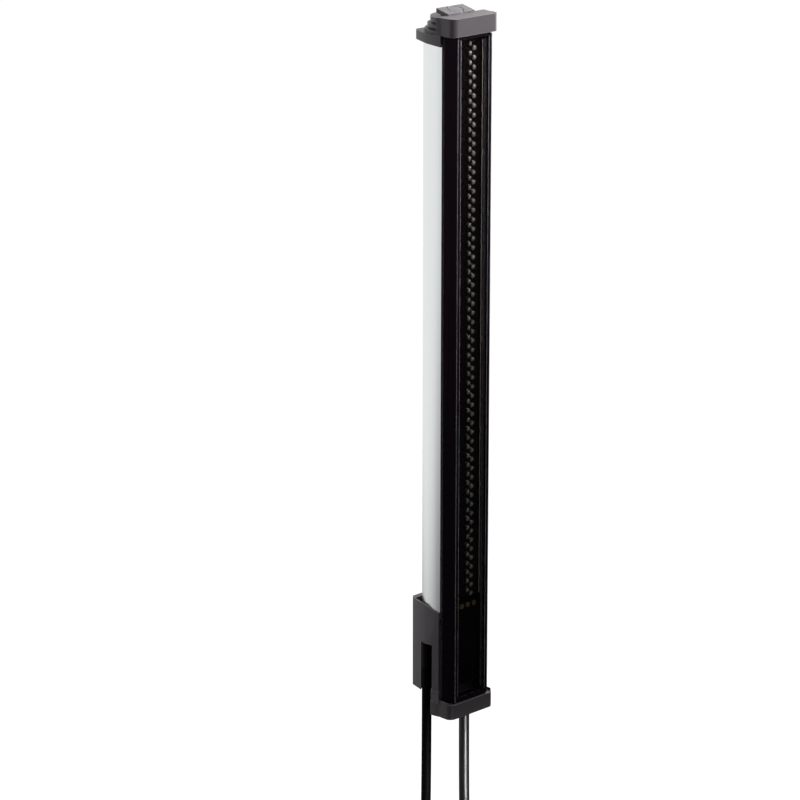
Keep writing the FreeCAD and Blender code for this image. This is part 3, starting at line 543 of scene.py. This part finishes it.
def nut_rings():
    """Rings from the bore's upper end, over the outside and back: height, radius, notch and thread depth."""
    size = NUT_MM
    top = size["knurl_high"]
    low = size["knurl_low"]
    notch_top, notch_low = top - size["notch_end"], low + size["notch_end"]
    rings = [(top, size["bore"], 0, 0), (top, size["knurl"] - size["chamfer"], 0, 0),
             (top - size["chamfer"], size["knurl"], 0, 0), (notch_top, size["knurl"], 0, 0),
             (notch_top - size["notch_run"], size["knurl"], NOTCH_DEEP_MM, 0),
             (notch_low + size["notch_run"], size["knurl"], NOTCH_DEEP_MM, 0),
             (notch_low, size["knurl"], 0, 0),
             (low + size["chamfer"], size["knurl"], 0, 0), (low, size["knurl"] - size["chamfer"], 0, 0),
             (low, size["relief"], 0, 0), (size["thread_high"], size["relief"], 0, 0)]
    thread_long = size["thread_high"] - size["thread_low"]
    for number in range(THREAD_RINGS + 1):
        height = size["thread_high"] - thread_long * number / THREAD_RINGS
        from_end = min(number, THREAD_RINGS - number) / THREAD_RINGS * thread_long
        lead_in = min(1.0, from_end / size["chamfer"])
        rings.append((height, size["thread"] - (1 - lead_in) * THREAD_DEEP_MM, 0, lead_in * THREAD_DEEP_MM))
    rings.append((size["thread_low"], size["bore"], 0, 0))
    return rings


def nut_mesh(name, stand):
    """The rings joined into one closed mesh and set on the plug by the stand matrix."""
    rings = nut_rings()
    spots = []
    for height, radius, notch, thread in rings:
        for step in range(NUT_STEPS):
            turn = 2 * math.pi * step / NUT_STEPS
            phase = (height / THREAD_PITCH_MM - step / NUT_STEPS) % 1.0
            groove = 1 - abs(2 * phase - 1)
            reach = radius - notch * (0.5 + 0.5 * math.cos(NOTCHES * turn)) - thread * groove
            spots.append((reach * MM * math.cos(turn), reach * MM * math.sin(turn), height * MM))
    faces = []
    for ring in range(len(rings)):
        after = (ring + 1) % len(rings)
        for step in range(NUT_STEPS):
            beside = (step + 1) % NUT_STEPS
            faces.append((ring * NUT_STEPS + step, after * NUT_STEPS + step, after * NUT_STEPS + beside,
                          ring * NUT_STEPS + beside))
    mesh = bpy.data.meshes.new(name)
    mesh.from_pydata(spots, [], faces)
    mesh.transform(stand)
    mesh.shade_smooth()
    mesh.set_sharp_from_angle(angle=EDGE_FROM)
    mesh.materials.append(nickel)
    return mesh


for joint in frame["joints"]:
    body = joint["child"]
    side = body.rpartition("_")[2]
    upwards = -Vector(joint["axis"])
    stand = Matrix.Translation(joint["pos_m"]) @ upwards.to_track_quat("Z", "Y").to_matrix().to_4x4()
    nut = bpy.data.objects.new("turned_nut_" + side, nut_mesh("turned_nut_" + side, stand))
    bpy.context.scene.collection.objects.link(nut)
    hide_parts("coupling_nut_" + side)
    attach(nut, body)
    print(nut.name, "faces", len(nut.data.polygons))

# %% [markdown]
# ## Leads
# Two short leads leave the connection box downwards and hang under the weight of their plugs. Each
# is one smooth curve through the control points of its route.

# %% Leads
ROUTES = {
    "left": [(-14.3, -12.6, -12.0), (-14.3, -12.6, -86.0), (-16.3, -12.6, -143.0), (-19.5, -12.6, -188.0)],
    "right": [(14.3, -12.6, -12.0), (14.3, -12.6, -84.0), (16.1, -12.6, -133.0), (18.9, -12.6, -169.0)],
}
LEAD_DIAMETER = {"left": 5.4, "right": 5.8}
LEAD_ROUND_STEPS = 8
LEAD_LONG_STEPS = 24
LEAD_ORDER = 3

for side, route in ROUTES.items():
    line = bpy.data.curves.new("lead_" + side, "CURVE")
    line.dimensions = "3D"
    line.bevel_depth = LEAD_DIAMETER[side] / 2 * MM
    line.bevel_resolution = LEAD_ROUND_STEPS
    line.resolution_u = LEAD_LONG_STEPS
    line.use_fill_caps = True
    spline = line.splines.new("NURBS")
    spline.points.add(len(route) - 1)
    for point, place in zip(spline.points, route):
        point.co = (*(Vector(place) * MM), 1.0)
    spline.order_u = LEAD_ORDER
    spline.use_endpoint_u = True
    lead = bpy.data.objects.new("lead_" + side, line)
    bpy.context.scene.collection.objects.link(lead)
    lead.data.materials.append(jackets[side])
    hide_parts("cable_" + side)
    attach(lead, "post")
    print("lead", side, len(route), "points")

# %% [markdown]
# ## Floor, light and background
# The photograph has a plain white ground behind the post and a dark room in front of it, which the
# black surfaces mirror. The floor is pale paper that keeps the soft shadow under the post. Rays that
# look past the post see it lifted less near the post, a painted shadow that adds to the real one,
# and lifted to white farther away; reflections see it bright behind the post and dim in front.

# %% Floor
# Lengths without a unit in their name are metres, and the brightness values are shares of white.
FLOOR_BELOW_MM = 20
FLOOR_HEIGHT = cad_low.z - FLOOR_BELOW_MM * MM
FLOOR_HALF = 6.0
FLOOR_LIFT_WITH_PAINTED_SHADOW = (0.72, 0.97)
FLOOR_PAINTED_SHADOW_FROM, FLOOR_PAINTED_SHADOW_TO = 0.10, 0.45
FRONT_DIM, BACK_BRIGHT = 0.05, 1.0
BRIGHT_WAY = (-0.35, 1.0, 0.0)
FLOOR_TURNS = (0.40, 0.98)

floor_mesh = bpy.data.meshes.new("floor")
corners = [(x * FLOOR_HALF, y * FLOOR_HALF, FLOOR_HEIGHT) for x, y in ((-1, -1), (1, -1), (1, 1), (-1, 1))]
floor_mesh.from_pydata(corners, [], [(0, 1, 2, 3)])
floor = bpy.data.objects.new("floor", floor_mesh)
bpy.context.scene.collection.objects.link(floor)
paper, tree, shader = finish_tree("white_paper", Base_Color=linear("#989898"), Roughness=0.9,
                                  Specular_IOR_Level=0.0, Emission_Color=WHITE)
rays = add(tree, "ShaderNodeLightPath").outputs
place = add(tree, "ShaderNodeTexCoord")
ground = add(tree, "ShaderNodeVectorMath", {0: place.outputs["Object"], 1: (1, 1, 0)}, operation="MULTIPLY")
away = add(tree, "ShaderNodeVectorMath", {0: ground.outputs[0]}, operation="LENGTH")
# Painted shadow: less white lift near the post, full white farther away.
lift_with_painted_shadow = add(tree, "ShaderNodeMapRange", {
    "Value": away.outputs["Value"], "From Min": FLOOR_PAINTED_SHADOW_FROM, "From Max": FLOOR_PAINTED_SHADOW_TO,
    "To Min": FLOOR_LIFT_WITH_PAINTED_SHADOW[0], "To Max": FLOOR_LIFT_WITH_PAINTED_SHADOW[1]}, interpolation_type="SMOOTHSTEP")
direct = add(tree, "ShaderNodeMath", {0: rays["Is Camera Ray"], 1: lift_with_painted_shadow.outputs["Result"]},
             operation="MULTIPLY")
tree.links.new(direct.outputs[0], shader.inputs["Emission Strength"])
back = add(tree, "ShaderNodeVectorMath", {0: place.outputs["Object"], 1: BRIGHT_WAY}, operation="DOT_PRODUCT")
behind = add(tree, "ShaderNodeMapRange", {
    "Value": back.outputs["Value"], "From Min": FLOOR_TURNS[0], "From Max": FLOOR_TURNS[1],
    "To Min": FRONT_DIM, "To Max": BACK_BRIGHT})
mirrored = add(tree, "ShaderNodeEmission", {"Color": WHITE, "Strength": behind.outputs["Result"]})
other = add(tree, "ShaderNodeMath", {0: rays["Is Glossy Ray"], 1: rays["Is Transmission Ray"]},
            operation="MAXIMUM")
both = add(tree, "ShaderNodeMixShader", {0: other.outputs[0], 1: shader.outputs[0], 2: mirrored.outputs[0]})
tree.links.new(both.outputs[0], tree.nodes["Material Output"].inputs["Surface"])
floor.data.materials.append(paper)
print("floor at", round(FLOOR_HEIGHT / MM), "mm")

# %% World
WORLD_LIGHT = (0.04, 1.0)
LIGHT_TURNS = (0.35, 1.0)
MIRROR_TURNS = (-0.4, 0.3)

world = bpy.data.worlds.new("studio")
bpy.context.scene.world = world
world.use_nodes = True
tree = world.node_tree
tree.nodes.clear()
rays = add(tree, "ShaderNodeLightPath").outputs
way = add(tree, "ShaderNodeTexCoord")
sides = add(tree, "ShaderNodeSeparateXYZ", {"Vector": way.outputs["Generated"]})
behind = add(tree, "ShaderNodeMapRange", {
    "Value": sides.outputs["Y"], "From Min": MIRROR_TURNS[0], "From Max": MIRROR_TURNS[1],
    "To Min": FRONT_DIM, "To Max": BACK_BRIGHT})
back = add(tree, "ShaderNodeVectorMath", {0: way.outputs["Generated"], 1: BRIGHT_WAY},
           operation="DOT_PRODUCT")
lit = add(tree, "ShaderNodeMapRange", {
    "Value": back.outputs["Value"], "From Min": LIGHT_TURNS[0], "From Max": LIGHT_TURNS[1],
    "To Min": WORLD_LIGHT[0], "To Max": WORLD_LIGHT[1]})
other = add(tree, "ShaderNodeMath", {0: rays["Is Glossy Ray"], 1: rays["Is Transmission Ray"]},
            operation="MAXIMUM")
soft = add(tree, "ShaderNodeBackground", {"Color": WHITE, "Strength": lit.outputs["Result"]})
mirrored = add(tree, "ShaderNodeBackground", {"Color": WHITE, "Strength": behind.outputs["Result"]})
white = add(tree, "ShaderNodeBackground", {"Color": WHITE, "Strength": 1.0})
both = add(tree, "ShaderNodeMixShader", {0: other.outputs[0], 1: soft.outputs[0], 2: mirrored.outputs[0]})
seen = add(tree, "ShaderNodeMixShader", {0: rays["Is Camera Ray"], 1: both.outputs[0], 2: white.outputs[0]})
add(tree, "ShaderNodeOutputWorld", {"Surface": seen.outputs[0]})
print("world light from", WORLD_LIGHT[0], "in front to", WORLD_LIGHT[1], "behind")

# %% [markdown]
# Four lamps: a softbox with a grid close to the post's top lights the cap and lets the light fall off
# down the post, a tall one far to the right makes the diodes glint, a small one with a narrow grid
# draws the stripe on the thick lead, and a broad one behind on the right opens up the sides that face
# away. None of them shows itself to the camera.

# %% Lamps
# place, target, width and height in metres, power in watts, spread in degrees
LAMPS = {
    "softbox_above": ((0.14, -0.20, 0.50), (0, -0.03, 0.34), 0.35, 0.10, 0.61, 90),
    "softbox_right": ((0.50, -0.13, 0.34), (0, -0.03, 0.24), 0.25, 0.40, 1.0, 180),
    "strip_low": ((-0.018, -0.212, -0.145), (0.0143, -0.0126, -0.085), 0.14, 0.06, 0.032, 24),
    "softbox_behind": ((0.85, 0.30, 0.75), (0, -0.02, 0.10), 0.5, 0.5, 3.5, 180),
}

for name, (place, target, wide, tall, power, spread) in LAMPS.items():
    lamp = bpy.data.lights.new(name, "AREA")
    lamp.shape = "RECTANGLE"
    lamp.size = wide
    lamp.size_y = tall
    lamp.energy = power
    lamp.spread = math.radians(spread)
    stand = bpy.data.objects.new(name, lamp)
    stand.location = place
    stand.rotation_euler = (Vector(target) - Vector(place)).to_track_quat("-Z", "Y").to_euler()
    stand.visible_camera = False
    bpy.context.scene.collection.objects.link(stand)
    print(name, power, "W")

# %% Finish
bpy.context.scene.view_settings.view_transform = "Standard"
